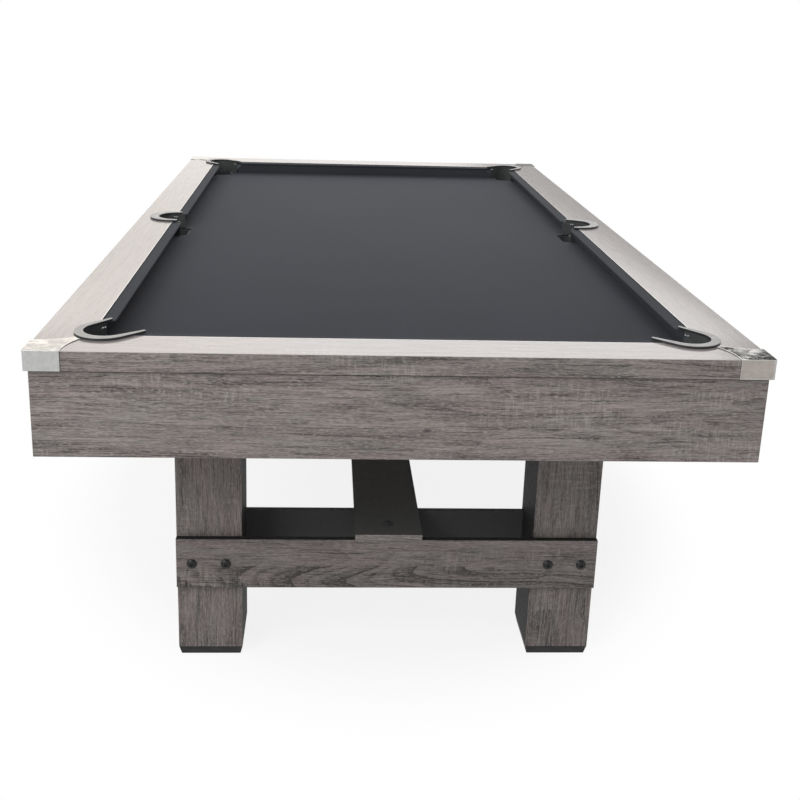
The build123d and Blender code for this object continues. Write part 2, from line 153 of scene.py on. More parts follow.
def tidy(piece):
    """Merges doubled points and turns all faces outwards."""
    edit_all(piece)
    bpy.ops.mesh.remove_doubles(threshold=0.00001)
    bpy.ops.mesh.normals_make_consistent(inside=False)
    object_mode()


def copy_to(piece, name, move=(0, 0, 0), turn=(0, 0, 0)):
    """A copy with its own mesh, turned about the origin and then moved."""
    take(piece)
    bpy.ops.object.duplicate(linked=False)
    copy = bpy.context.active_object
    copy.name = name
    copy.data.name = name
    settle(copy, move, turn)
    return copy


def join(pieces):
    """Joins pieces into the first of them."""
    take(pieces[0])
    for piece in pieces[1:]:
        piece.select_set(True)
    bpy.ops.object.join()
    return pieces[0]


def drop(piece):
    """Removes a piece that was only a pattern or a cutter."""
    take(piece)
    bpy.ops.object.delete()


def complete(piece, material, replaced=(), angle=40, body="table"):
    """Smooths a piece and gives it its finish and the body that it rides on."""
    take(piece)
    bpy.ops.object.shade_smooth_by_angle(angle=radians(angle))
    modify(piece, "WEIGHTED_NORMAL", keep_sharp=True)
    piece.data.materials.clear()
    piece.data.materials.append(material)
    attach(piece, body)
    if replaced:
        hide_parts(*replaced)


def is_socket(value):
    """Whether a value is what another node puts out."""
    return isinstance(value, bpy.types.NodeSocket)


def add_node(kind, inputs=(), tree=None, **settings):
    """Adds a shader node in a tree, or beside what feeds it, and fills its sockets with values or links."""
    inputs = dict(inputs)
    tree = tree or next(filter(is_socket, inputs.values())).id_data
    node = tree.nodes.new(kind)
    for key, value in settings.items():
        setattr(node, key, value)
    for socket, value in inputs.items():
        if is_socket(value):
            tree.links.new(value, node.inputs[socket])
        else:
            node.inputs[socket].default_value = value
    return node


def vector_calc(operation, first, second):
    """One step of arithmetic on places or directions."""
    return add_node("ShaderNodeVectorMath", {0: first, 1: second}, operation=operation).outputs[0]


def noise(vector, stretch, detail=2.0, rough=0.5):
    """Noise whose features are one over the stretch, in metres along each axis."""
    scaled = vector_calc("MULTIPLY", vector, stretch)
    inputs = {"Vector": scaled, "Scale": 1.0, "Detail": detail, "Roughness": rough}
    return add_node("ShaderNodeTexNoise", inputs, noise_dimensions="3D").outputs["Fac"]


def between(value, low, high, to_low=0.0, to_high=1.0):
    """Maps a range of values smoothly onto another."""
    inputs = {"Value": value, "From Min": low, "From Max": high, "To Min": to_low, "To Max": to_high}
    return add_node("ShaderNodeMapRange", inputs, interpolation_type="SMOOTHSTEP").outputs["Result"]


def opaque(tone):
    """A colour that hides what is under it, or what another node puts out."""
    return tone if is_socket(tone) else (*tone, 1.0)


def blend(mask, first, second, kind="MIX"):
    """Mixes two colours by a mask."""
    inputs = {0: mask, 6: opaque(first), 7: opaque(second)}
    return add_node("ShaderNodeMix", inputs, data_type="RGBA", blend_type=kind).outputs[2]


def new_group(name, values=("Roughness", "Height"), **inputs):
    """A shader node group that gives a colour and some values, and what comes into it."""
    group = bpy.data.node_groups.new(name, "ShaderNodeTree")
    outputs = {"Color": "Color", **dict.fromkeys(values, "Float")}
    for way, sockets in (("INPUT", inputs), ("OUTPUT", outputs)):
        for label, kind in sockets.items():
            group.interface.new_socket(label, in_out=way, socket_type="NodeSocket" + kind)
    return group, group.nodes.new("NodeGroupInput").outputs


def put_out(**results):
    """Links what a group has worked out to its outputs."""
    add_node("NodeGroupOutput", results)


def place_on(tree):
    """The place on the piece that a material is on."""
    return add_node("ShaderNodeTexCoord", tree=tree).outputs["Object"]


def new_material(name, **plain):
    """A material with its plain values set, its shader, and the place on the piece."""
    material = bpy.data.materials.new(name)
    material.use_nodes = True
    shader = material.node_tree.nodes["Principled BSDF"]
    for label, value in plain.items():
        shader.inputs[label.replace("_", " ").title().replace("Ior", "IOR")].default_value = value
    return material, shader, place_on(material.node_tree)


def surface(shader, colour, rough, height, depth, strength):
    """Feeds a shader its colour, its roughness and fine relief of a given depth in metres."""
    bump = add_node("ShaderNodeBump", {"Height": height, "Distance": depth, "Strength": strength})
    sources = {"Base Color": colour, "Roughness": rough, "Normal": bump.outputs["Normal"]}
    for label, source in sources.items():
        shader.id_data.links.new(source, shader.inputs[label])


def two_toned(name, group, tones, depth, strength, values=(), **plain):
    """A finish between two tones, with the pattern, gloss and relief of a group."""
    material, shader, place = new_material(name, **plain)
    inputs = {"Vector": place, "Dark": opaque(tones[0]), "Light": opaque(tones[1]), **dict(values)}
    grain = add_node("ShaderNodeGroup", inputs, node_tree=group).outputs
    surface(shader, grain["Color"], grain["Roughness"], grain["Height"], depth, strength)
    return material


two_tone = {"Vector": "Vector", "Dark": "Color", "Light": "Color"}
mould_group, mould_in = new_group("mould_grain", **two_tone)
pebble = noise(mould_in["Vector"], (1500, 1500, 1500), 1.0)
scuff = noise(mould_in["Vector"], (38, 38, 60), 4.0, 0.65)
scuffed = blend(between(scuff, 0.42, 0.72), mould_in["Dark"], mould_in["Light"])
put_out(Color=scuffed, Roughness=between(scuff, 0.3, 0.7, 0.5, 0.36), Height=pebble)


def moulded_plastic(name, dark, worn):
    """Black moulding with a fine pebbled skin and faint scuffs."""
    return two_toned(name, mould_group, (dark, worn), 0.00008, 0.6, specular_ior_level=0.25)


foot_plastic = moulded_plastic("foot_plastic", (0.014, 0.015, 0.015), (0.03, 0.03, 0.031))

mottle_values = dict.fromkeys(("Detail", "Grain", "Dark_Rough", "Light_Rough"), "Float")
mottle_group, mottle_in = new_group("fine_mottle", **two_tone, Stretch="Vector", **mottle_values)
fine = noise(mottle_in["Vector"], mottle_in["Stretch"], mottle_in["Detail"], mottle_in["Grain"])
mottled = blend(fine, mottle_in["Dark"], mottle_in["Light"])
mottled_rough = between(fine, 0.3, 0.7, mottle_in["Dark_Rough"], mottle_in["Light_Rough"])
put_out(Color=mottled, Roughness=mottled_rough, Height=fine)
spangle = {"Stretch": (420, 420, 420), "Detail": 3.0, "Grain": 0.6, "Dark_Rough": 0.24, "Light_Rough": 0.42}
zinc_plating = two_toned("zinc_plating", mottle_group, zinc_tones, 0.00006, 0.5, spangle, metallic=1.0)

low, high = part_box("levelling_foot_rear_right")
pad_width = high.x - low.x
pad_depth = high.y - low.y
pad = block("foot_pad", (0, 0, pad_height / 2), (pad_width, pad_depth, pad_height))
pick(pad, "FACE", lambda at, way: way.z < -0.9)
bpy.ops.transform.resize(value=(1 - 2 * pad_taper / pad_width, 1 - 2 * pad_taper / pad_depth, 1))
bpy.ops.mesh.inset(thickness=pad_rim)
extrude((0, 0, pad_hollow))
ease(pad, pad_rounding, 3)

stud = begin(
    "foot_stud",
    bpy.ops.mesh.primitive_circle_add,
    vertices=4,
    radius=thread_pitch / 2,
    location=(stud_core, 0, stud_low + thread_pitch / 2),
    rotation=(pi / 2, 0, 0),
)
pick(stud, "VERT", lambda at, way: at.x < stud_core - thread_pitch / 4)
bpy.ops.mesh.delete(type="VERT")
thread = {"axis": "Z", "angle": 2 * pi, "screw_offset": thread_pitch, "iterations": thread_turns}
modify(stud, "SCREW", steps=stud_sides, render_steps=stud_sides, **thread)
core = rod("stud_core", stud_sides, stud_core, stud_top - stud_low, (stud_top + stud_low) / 2)
ease(core, stud_chamfer, 2, 60)
stud = join([stud, core])
tidy(stud)

for corner in corners:
    low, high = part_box(f"levelling_foot_{corner}")
    spot = ((low.x + high.x) / 2, (low.y + high.y) / 2, 0)
    body = f"foot_{corner}"
    piece = copy_to(pad, f"foot_pad_{corner}", spot)
    complete(piece, foot_plastic, [f"levelling_foot_{corner}"], 32, body)
    piece = copy_to(stud, f"foot_stud_{corner}", spot)
    complete(piece, zinc_plating, [f"levelling_foot_{corner}"], 50, body)
drop(pad)
drop(stud)


# Legs: hollow boxes of mitred board, laminated outside in a grey driftwood grain and plain black inside.
# Softwood blocks close the top and bottom; the lower one holds the nut of the foot's stud.
grain_mean = (0.229, 0.200, 0.194)
tint_warm = (1.030, 0.988, 0.995)
tint_cool = (0.972, 1.010, 0.985)
saw_light = (0.41, 0.378, 0.35)
along_x = (0, 0, 0)
along_y = (0, 0, pi / 2)
along_z = (0, pi / 2, 0)
# Legs and beams are darkened by this factor: painted shade under the table top, partly a darker board.
painted_shade_under_table = 0.78


def calc(operation, first, second=0.0, third=0.0):
    """One step of arithmetic on values that change over the surface."""
    inputs = {0: first, 1: second, 2: third}
    return add_node("ShaderNodeMath", inputs, operation=operation).outputs[0]


def times(first, second):
    """The product of two values."""
    return calc("MULTIPLY", first, second)


def axes_of(vector):
    """The three parts of a place."""
    return add_node("ShaderNodeSeparateXYZ", {"Vector": vector}).outputs


def place_group(group, place, turn, shift=(0, 0, 0), **values):
    """Places a group in a material with its own values, its pattern turned and shifted."""
    turned = add_node("ShaderNodeMapping", {"Vector": place, "Rotation": turn, "Location": shift})
    return add_node("ShaderNodeGroup", {"Vector": turned.outputs["Vector"], **values}, node_tree=group)


driftwood_group, wood_in = new_group("driftwood_grain", Vector="Vector", Figure="Float", Shade="Float")
vector = wood_in["Vector"]
swayed = vector
for stretch, reach in (((1.6, 6.5, 6.5), 0.05), ((14, 60, 60), 0.004)):
    drift = vector_calc("MULTIPLY", vector, stretch)
    drift = add_node("ShaderNodeTexNoise", {"Vector": drift, "Scale": 1.0, "Detail": 2.0})
    drift = vector_calc("SUBTRACT", drift.outputs["Color"], (0.5, 0.5, 0.5))
    drift = vector_calc("MULTIPLY", drift, (0, reach, reach))
    swayed = vector_calc("ADD", swayed, drift)
figure = noise(swayed, (0.75, 6.0, 6.0), 1.0, 0.4)
growth = calc("FRACT", times(figure, 17.0))
soft_edge = times(between(growth, 0.6, 0.0), 0.75)
line = calc("MAXIMUM", between(growth, 0.14, 0.02), soft_edge)
figured = between(noise(vector, (2.0, 9, 9), 2.0), 0.36, 0.56)
figured = calc("MAXIMUM", times(figured, 0.5), wood_in["Figure"])
line = times(line, figured)
ring = between(calc("FRACT", times(figure, 51.0)), 0.5, 0.1)
line = calc("MULTIPLY_ADD", ring, times(wood_in["Figure"], 0.45), line)
speckle = noise(swayed, (90, 520, 520), 1.0)
fibre = noise(swayed, (10, 480, 480), 2.0, 0.6)
streak = noise(swayed, (4.5, 100, 100), 2.0, 0.55)
band = noise(swayed, (2.2, 30, 30), 2.0)
hairline = between(noise(swayed, (1.5, 230, 230), 1.0), 0.41, 0.32)
hairline = times(hairline, between(noise(vector, (3, 12, 12), 2.0), 0.36, 0.54))
pore = between(noise(swayed, (26, 380, 380), 1.0), 0.40, 0.30)
fleck = between(noise(swayed, (110, 560, 560), 1.0), 0.54, 0.70)
level = calc("MULTIPLY_ADD", speckle, 1.1, -1.40)
marks = ((fibre, 1.9), (streak, 1.0), (band, 0.9), (line, -0.62), (hairline, -0.5), (pore, -0.25))
for mark, weight in marks:
    level = calc("MULTIPLY_ADD", mark, weight, level)
level = calc("MAXIMUM", level, 0.25)
patch = between(noise(swayed, (6, 34, 34), 3.0), 0.36, 0.64)
tint = blend(patch, tint_cool, tint_warm)
board_colour = blend(1.0, grain_mean, blend(1.0, tint, level, "MULTIPLY"), "MULTIPLY")
saw_patch = between(noise(vector, (3.6, 11, 11), 2.0), 0.53, 0.65)
saw_bar = between(noise(vector, (190, 30, 30), 1.0), 0.50, 0.66)
saw = times(times(saw_patch, saw_bar), between(fibre, 0.35, 0.6))
pale = calc("MAXIMUM", times(saw, 0.75), times(fleck, 0.55))
board_colour = blend(pale, board_colour, saw_light)
# Shade darkens legs and beams as painted shade under the table, and gives the edging its own paler tone.
board_colour = blend(1.0, board_colour, wood_in["Shade"], "MULTIPLY")
board_rough = between(fibre, 0.3, 0.7, 0.60, 0.46)
put_out(Color=board_colour, Roughness=board_rough, Height=calc("MULTIPLY_ADD", pore, -0.4, fibre))


def driftwood(name, turn, shift, shade=1.0, seam=None, over=None, values=(), depth=0.0003, **plain):
    """Grey laminate with its grain along X once the pattern is turned, and figured below the level seam.

    Over is a group that is laid over the grain with its own values, and may give a clear coat.
    """
    material, shader, place = new_material(name, specular_ior_level=0.35, **plain)
    grain = place_group(driftwood_group, place, turn, shift, Shade=shade)
    colour = grain.outputs["Color"]
    links = shader.id_data.links
    if seam:
        figured = between(axes_of(place)["Z"], seam + 0.0008, seam, 0.0, 1.25)
        links.new(figured, grain.inputs["Figure"])
    if over:
        inputs = {"Color": colour, "Vector": place, **dict(values)}
        laid = add_node("ShaderNodeGroup", inputs, node_tree=over).outputs
        colour = laid["Color"]
        if "Coat" in laid:
            links.new(laid["Coat"], shader.inputs["Coat Weight"])
    surface(shader, colour, grain.outputs["Roughness"], grain.outputs["Height"], depth, 0.55)
    return material


def dress(material, *nodes):
    """Gives modelled boards their finish."""
    for node in nodes:
        for slot in frame["nodes"][node].material_slots:
            slot.material = material


leg_laminate = driftwood("leg_laminate", along_z, (0.31, 0.17, 0.05), painted_shade_under_table)


black_group, black_in = new_group("black_mottle", **two_tone)
faint = noise(black_in["Vector"], (90, 90, 90), 4.0, 0.6)
faded = blend(faint, black_in["Dark"], black_in["Light"])
skin = noise(black_in["Vector"], (900, 900, 900), 2.0)
put_out(Color=faded, Roughness=between(faint, 0.3, 0.7, 0.7, 0.58), Height=skin)


def black_board(name, dark, worn):
    """Plain black laminate with a faint mottle."""
    return two_toned(name, black_group, (dark, worn), 0.00005, 0.5, specular_ior_level=0.12)


# A darker copy of the black laminate for the leg backs and the beams' upper edges: painted shade.
leg_black_painted_shade = black_board("leg_black_painted_shade", (0.020, 0.020, 0.020), (0.028, 0.028, 0.028))

softwood_group, pine_in = new_group("softwood_grain", Vector="Vector")
rings = calc("FRACT", times(noise(pine_in["Vector"], (1.1, 13, 13), 1.0), 15.0))
late = times(between(rings, 0.35, 0.9), between(rings, 1.0, 0.94))
hair = noise(pine_in["Vector"], (20, 700, 700), 2.0)
pale = blend(hair, (0.52, 0.42, 0.31), (0.63, 0.54, 0.42))
pine_colour = blend(times(late, 0.7), pale, (0.38, 0.26, 0.16))
pine_rough = between(hair, 0.3, 0.7, 0.72, 0.58)
put_out(Color=pine_colour, Roughness=pine_rough, Height=calc("MULTIPLY_ADD", late, 0.5, hair))


def softwood(name, turn):
    """Planed pine whose grain runs along X once the pattern is turned."""
    material, shader, place = new_material(name)
    grain = place_group(softwood_group, place, turn).outputs
    surface(shader, grain["Color"], grain["Roughness"], grain["Height"], 0.0003, 0.5)
    return material


softwood_x = softwood("softwood_across", along_x)
dress(leg_laminate, *[f"leg_face_{corner}" for corner in corners])
dress(leg_black_painted_shade, *[f"leg_back_{corner}" for corner in corners])
dress(softwood_x, "leg_blocks")
dress(zinc_plating, "foot_nuts")


# Cross beams: a laminated one with a black upper edge is bolted across each pair of legs, and a black one
# stands between the legs. The stretcher is a black board laid over them, with a stiffening rib, a block
# at each end, and a laminate edging on its end faces.
edging_thickness = 0.0006
edging_rounding = edging_thickness / 3
strip_gap = 0.001
strip_inset = 0.0016
edging_shade = 1.15
seam_rise = 0.053

beam_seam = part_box("outer_beam_rear")[0].z + seam_rise
beam_laminate = driftwood("beam_laminate", along_x, (0.9, 0.55, 0.31), painted_shade_under_table, beam_seam)
edging_laminate = driftwood("edging_laminate", along_x, (0.2, 0.1, 0.5), edging_shade)
# A much lighter copy of the black laminate for the boards under the table: painted light in their shade.
black_laminate_painted_light = black_board("black_laminate_painted_light", (0.092, 0.094, 0.096), (0.116, 0.118, 0.119))
dress(beam_laminate, "outer_beam_front", "outer_beam_rear")
dress(black_laminate_painted_light, "inner_beam_front", "inner_beam_rear")
dress(black_laminate_painted_light, "stretcher_board", "stretcher_rib", "stretcher_blocks")
low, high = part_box("stretcher_board")
for name, end in (("front", low.y), ("rear", high.y)):
    outward = 1 if end > 0 else -1
    middle = (0, end + outward * edging_thickness / 2, (low.z + high.z) / 2)
    size = (high.x - low.x, edging_thickness, high.z - low.z)
    edging = block(f"stretcher_edging_{name}", middle, size)
    ease(edging, edging_rounding, 1)
    complete(edging, edging_laminate, angle=32)
    beam_low, beam_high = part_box(f"outer_beam_{name}")
    for side, sign in (("left", -1), ("right", 1)):
        x = sign * (high.x + beam_high.x) / 2
        middle = (x, (beam_low.y + beam_high.y) / 2, beam_high.z + edging_thickness / 2)
        size = (beam_high.x - high.x - strip_gap, beam_high.y - beam_low.y - strip_inset, edging_thickness)
        strip = block(f"beam_edging_{name}_{side}", middle, size)
        ease(strip, edging_rounding, 1)
        complete(strip, leg_black_painted_shade, angle=32)


# Base bolts: black domed heads with a hexagon socket, through beams and legs into zinc-plated nuts.
# One more at each end comes down through the stretcher into its block.
dome_radius = 0.011
dome_edge = 0.0018
dome_height = 0.007
dome_chamfer = 0.0004
shank_radius = 0.004
shank_chamfer = 0.0006
socket_radius = 0.0042
socket_depth = 0.0034
nut_radius = 0.008
nut_height = 0.0065
nut_chamfer = 0.0009
nut_swell = 1.16
bore_length = 0.05
bolt_rounding = 0.0003
bolt_tones = ((0.005, 0.005, 0.0055), (0.014, 0.014, 0.014))
stretcher_bolt = 0.915
stretcher_shank = 0.053
arc_step = radians(6)
lathe_steps = 40


def trace(name, start, runs, level=0.0, closed=True):
    """Draws an outline on a level: each run goes straight to a point, or round a centre by an angle."""
    piece = begin(name, bpy.ops.mesh.primitive_circle_add, vertices=3, radius=0.001)
    bpy.ops.object.mode_set(mode="EDIT")
    bpy.ops.mesh.select_mode(type="VERT")
    bpy.ops.mesh.select_all(action="SELECT")
    bpy.ops.mesh.merge(type="CENTER")
    at = Vector((start[0], start[1], level))
    bpy.ops.transform.translate(value=at)
    for run in runs:
        if len(run) == 2:
            to = Vector((run[0], run[1], level))
            extrude(to - at)
        else:
            centre = Vector((run[0], run[1], level))
            steps = max(2, ceil(abs(run[2]) / arc_step))
            bpy.ops.mesh.spin(steps=steps, angle=-run[2], center=centre, axis=(0, 0, 1))
            to = centre + Matrix.Rotation(run[2], 3, "Z") @ (at - centre)
        at = to
    if closed:
        bpy.ops.mesh.select_all(action="SELECT")
        bpy.ops.mesh.remove_doubles(threshold=0.00001)
        bpy.ops.mesh.edge_face_add()
    object_mode()
    return piece


def lathe(name, start, runs):
    """Turns a profile of radius and height round the upright axis."""
    piece = trace(name, start, runs, closed=False)
    settle(piece, turn=(pi / 2, 0, 0))
    edit_all(piece)
    bpy.ops.mesh.spin(steps=lathe_steps, angle=2 * pi, center=(0, 0, 0), axis=(0, 0, 1))
    tidy(piece)
    return piece


def combine(piece, other, operation="DIFFERENCE"):
    """Takes another shape out of a piece, or adds it."""
    modify(piece, "BOOLEAN", operation=operation, object=other, solver="EXACT")
    drop(other)


paint = {"Stretch": (600, 600, 600), "Detail": 3.0, "Grain": 0.6, "Dark_Rough": 0.26, "Light_Rough": 0.4}
bolt_black = two_toned("bolt_black", mottle_group, bolt_tones, 0.00005, 0.5, paint, specular_ior_level=0.3)
# A lighter black than the beam bolts, for the stretcher bolts: painted light under the table.
stretcher_bolt_painted_light = black_board("stretcher_bolt_painted_light", (0.052, 0.053, 0.054), (0.070, 0.071, 0.072))

low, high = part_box("outer_beam_rear")
beam_face = high.y
beam_middle = (low.z + high.z) / 2
beam_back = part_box("inner_beam_rear")[0].y
shank_length = beam_face - beam_back + nut_height
dome_rise = dome_height - dome_edge
dome_ball = (dome_radius**2 + dome_rise**2) / (2 * dome_rise)
bolt = lathe(
    "base_bolt",
    (0, dome_height),
    [
        (0, dome_height - dome_ball, -asin(dome_radius / dome_ball)),
        (dome_radius, dome_chamfer),
        (dome_radius - dome_chamfer, 0),
        (shank_radius, 0),
        (shank_radius, shank_chamfer - shank_length),
        (shank_radius - shank_chamfer, -shank_length),
        (0, -shank_length),
    ],
)
combine(bolt, rod("socket_cutter", 6, socket_radius, 2 * socket_depth, dome_height))
ease(bolt, bolt_rounding, 2, 40)

nut = rod("base_nut", 6, nut_radius, nut_height, -nut_height / 2)
pick(nut, "FACE", lambda at, way: abs(way.z) > 0.9)
bpy.ops.mesh.inset(thickness=nut_chamfer)
bpy.ops.transform.resize(value=(1, 1, nut_swell))
combine(nut, rod("nut_bore", 24, shank_radius, bore_length))
ease(nut, bolt_rounding, 1, 40)

leg_low, leg_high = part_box("leg_face_rear_right")
leg_middle = (leg_low.x + leg_high.x) / 2
bolt_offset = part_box("base_nuts")[1].x - leg_middle - nut_radius
for corner, (sign_x, sign_y) in corners.items():
    turn = (-sign_y * pi / 2, 0, 0)
    for side, offset in (("inner", -bolt_offset), ("outer", bolt_offset)):
        x = sign_x * (leg_middle + offset)
        piece = copy_to(bolt, f"beam_bolt_{corner}_{side}", (x, sign_y * beam_face, beam_middle), turn)
        complete(piece, bolt_black, ["base_bolts"])
        piece = copy_to(nut, f"beam_nut_{corner}_{side}", (x, sign_y * beam_back, beam_middle), turn)
        complete(piece, zinc_plating, ["base_nuts"])
drop(nut)
pick(bolt, "VERT", lambda at, way: at.z < -stretcher_shank)
bpy.ops.transform.translate(value=(0, 0, shank_length - stretcher_shank))
stretcher_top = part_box("stretcher_board")[1].z
for name, sign_y in (("front", -1), ("rear", 1)):
    piece = copy_to(bolt, f"stretcher_bolt_{name}", (0, sign_y * stretcher_bolt, stretcher_top))
    complete(piece, stretcher_bolt_painted_light, ["base_bolts"])
drop(bolt)


# Bed: a white-faced fibreboard bed on softwood beams, bolted up into the rails from below.
# The worsted cloth is stretched over it and turned down into each pocket hole.
cloth_thickness = 0.0009
corner_hole = 0.0489
corner_hole_front = 0.0481
side_hole = 0.0549
side_hole_front = 0.0399
hole_margin = 0.0006
cloth_turn_down = 0.012
cloth_dark = (0.013, 0.0135, 0.019)
cloth_light = (0.028, 0.029, 0.039)
# Painted light on the end cushions below the nose, fading in over this depth, by this factor.
under_nose_light_fade = 0.004
under_nose_painted_light = (2.6, 2.7, 2.6)
thread_count = 5200.0
board_tones = ((0.54, 0.53, 0.51), (0.66, 0.655, 0.64))

chips = {"Stretch": (260, 260, 700), "Detail": 4.0, "Grain": 0.7, "Dark_Rough": 0.85, "Light_Rough": 0.7}
fibreboard = two_toned("fibreboard", mottle_group, board_tones, 0.0003, 0.6, chips, specular_ior_level=0.3)

worsted_group, weave_in = new_group("worsted_weave", Vector="Vector", Lift="Color")
axes = axes_of(weave_in["Vector"])
lift = calc("ADD", axes["Y"], axes["Z"])
warp = calc("SINE", times(calc("ADD", axes["X"], lift), thread_count))
weft = calc("SINE", times(calc("SUBTRACT", axes["X"], lift), thread_count))
threads = calc("MULTIPLY_ADD", times(warp, weft), 0.5, 0.5)
nap = noise(weave_in["Vector"], (700, 1500, 1500), 3.0, 0.6)
wear = noise(weave_in["Vector"], (3.5, 2.2, 3.5), 3.0, 0.55)
fuzz = calc("ADD", times(threads, 0.35), times(nap, 0.65))
shade = blend(between(fuzz, 0.2, 0.8), cloth_dark, cloth_light)
shade = blend(between(wear, 0.35, 0.7, 0.0, 0.35), shade, cloth_light)
# Lift multiplies the cloth's colour; above one, on the cushions, it is painted light.
shade = blend(1.0, shade, weave_in["Lift"], "MULTIPLY")
put_out(Color=shade, Roughness=between(nap, 0.2, 0.8, 0.95, 0.8), Height=fuzz)


def worsted(name, turn, lift=(1, 1, 1), painted_light_below=None, **plain):
    """Near-black napped cloth, times a lift that is painted light on the cushions, and lighter still below
    a level: painted light under the nose.
    """
    material, shader, place = new_material(name, **plain)
    weave = place_group(worsted_group, place, turn, Lift=opaque(lift)).outputs
    colour = weave["Color"]
    if painted_light_below:
        below = between(axes_of(place)["Z"], painted_light_below, painted_light_below - under_nose_light_fade)
        colour = blend(below, colour, blend(1.0, colour, under_nose_painted_light, "MULTIPLY"))
    surface(shader, colour, weave["Roughness"], weave["Height"], 0.00025, 0.6)
    return material


cloth_look = {"specular_ior_level": 0.12, "sheen_roughness": 0.3, "sheen_tint": (0.9, 0.94, 1.0, 1.0)}
bed_worsted = worsted("bed_worsted", along_x, sheen_weight=0.25, **cloth_look)
softwood_y = softwood("softwood_lengthways", along_y)
dress(fibreboard, "bed_board")
dress(softwood_y, "frame_side_beams", "apron_cleats")
dress(softwood_x, "frame_cross_beams")
dress(zinc_plating, "frame_bolts")

pockets = {}
for opening in frame["record"]["physics"]["openings"]:
    if opening["name"].startswith("pocket_"):
        first, last = opening["box_m"]
        spot = Vector(((first[0] + last[0]) / 2, (first[1] + last[1]) / 2, 0))
        pockets[opening["name"].removeprefix("pocket_")] = spot
low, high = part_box("bed_cloth")
far = pockets["rear_right"]
near = pockets["right"]
slant = corner_hole / sqrt(2)
run_out_x = high.x - far.x - slant
run_out_y = high.y - far.y - slant


def hole_runs(x, y, facing, radius, front):
    """Round the front of a pocket hole: an arc, a straight edge towards the field, and an arc."""
    reach = acos(front / radius)
    end = (x + radius * cos(facing - reach), y + radius * sin(facing - reach))
    return [(x, y, reach - pi / 2), end, (x, y, reach - pi / 2)]


cloth = trace(
    "bed_cloth_sheet",
    (0, low.y),
    [
        (far.x - slant - run_out_y, low.y),
        (far.x - slant, -far.y - slant),
        *hole_runs(far.x, -far.y, 3 * pi / 4, corner_hole, corner_hole_front),
        (high.x, -far.y + slant + run_out_x),
        (high.x, -side_hole),
        (near.x, -side_hole),
        *hole_runs(near.x, near.y, pi, side_hole, side_hole_front),
        (high.x, side_hole),
        (high.x, far.y - slant - run_out_x),
        (far.x + slant, far.y - slant),
        *hole_runs(far.x, far.y, 5 * pi / 4, corner_hole, corner_hole_front),
        (far.x - slant - run_out_y, high.y),
        (0, high.y),
        (0, low.y),
    ],
    high.z,
)
modify(cloth, "MIRROR", use_axis=(True, False, False), merge_threshold=0.0001)
tidy(cloth)
hole_of = {name: side_hole if name in ("left", "right") else corner_hole for name in pockets}


def on_hole(at, way):
    """Whether an edge of the cloth lies on the rim of a pocket hole."""
    return any((at.xy - spot.xy).length < hole_of[name] + hole_margin for name, spot in pockets.items())


pick(cloth, "EDGE", on_hole)
extrude((0, 0, -cloth_turn_down))
object_mode()
if cloth.data.polygons[0].normal.z < 0:
    edit_all(cloth)
    bpy.ops.mesh.flip_normals()
modify(cloth, "SOLIDIFY", thickness=cloth_thickness, offset=-1)
complete(cloth, bed_worsted, ["bed_cloth"])


# Aprons and rails: boards in the same laminate, mitred at the corners, with a shadow gap between them.
# The aprons' upper edges are darkened: painted shadow under the rails' overhang. The rails have a clear
# glossy coat on top, which mirrors the room at a low angle, a painted highlight along the edge behind the
# cushions, and painted shade on their inner face above the cushions.
painted_shadow_tone = (0.03, 0.027, 0.026)
painted_edge_highlight = (0.8, 0.78, 0.76)
painted_gap_shade = (0.006, 0.006, 0.007)

# Painted shadow under the rails' overhang: the apron darkens just below its top.
edge_group, edge_in = new_group("painted_shadow_edge", (), Vector="Vector", Color="Color", Top="Float")
below = calc("SUBTRACT", axes_of(edge_in["Vector"])["Z"], edge_in["Top"])
put_out(Color=blend(between(below, -0.0036, -0.0012, 0.0, 0.6), edge_in["Color"], painted_shadow_tone))

coat_group, coat_in = new_group(
    "rail_coat", ["Coat"], Vector="Vector", Color="Color", Top="Float", Across="Vector", Inner="Float"
)
below = calc("SUBTRACT", axes_of(coat_in["Vector"])["Z"], coat_in["Top"])
coat = between(below, -0.0012, -0.0002)
inputs = {0: coat_in["Vector"], 1: coat_in["Across"]}
across = add_node("ShaderNodeVectorMath", inputs, operation="DOT_PRODUCT").outputs["Value"]
behind = calc("SUBTRACT", calc("ABSOLUTE", across), coat_in["Inner"])
# Painted highlight along the top's edge behind the cushion.
bright = times(between(behind, 0.0022, 0.0012), coat)
# Painted shade on the rail's inner face above the cushion.
gap_shade_mask = times(between(behind, 0.0006, 0.0002), calc("SUBTRACT", 1.0, coat))
rail_colour = blend(times(coat, 0.7), coat_in["Color"], grain_mean)
rail_colour = blend(gap_shade_mask, blend(bright, rail_colour, painted_edge_highlight), painted_gap_shade)
put_out(Color=rail_colour, Coat=coat)

painted_shadow_top = {"over": edge_group, "values": {"Top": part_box("end_apron_rear")[1].z}}
end_laminate = driftwood("end_laminate", along_x, (0.05, 0.0, 0.02), **painted_shadow_top)
side_laminate = driftwood("side_laminate", along_y, (0.11, 0.07, 0.0), **painted_shadow_top)
rail_low, rail_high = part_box("side_rail_right")
gloss = {"over": coat_group, "coat_roughness": 0.09, "coat_ior": 1.55, "depth": 0.00006}
end_inner = {"Top": rail_high.z, "Across": (0, 1, 0), "Inner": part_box("end_rail_rear")[0].y}
side_inner = {"Top": rail_high.z, "Across": (1, 0, 0), "Inner": rail_low.x}
end_rail_laminate = driftwood("end_rail_laminate", along_x, (0.21, 0.05, 0.4), values=end_inner, **gloss)
side_rail_laminate = driftwood("side_rail_laminate", along_y, (0.37, 0.02, 0.3), values=side_inner, **gloss)
dress(end_laminate, "end_apron_front", "end_apron_rear")
dress(side_laminate, "side_apron_left", "side_apron_right")
dress(end_rail_laminate, "end_rail_front", "end_rail_rear")
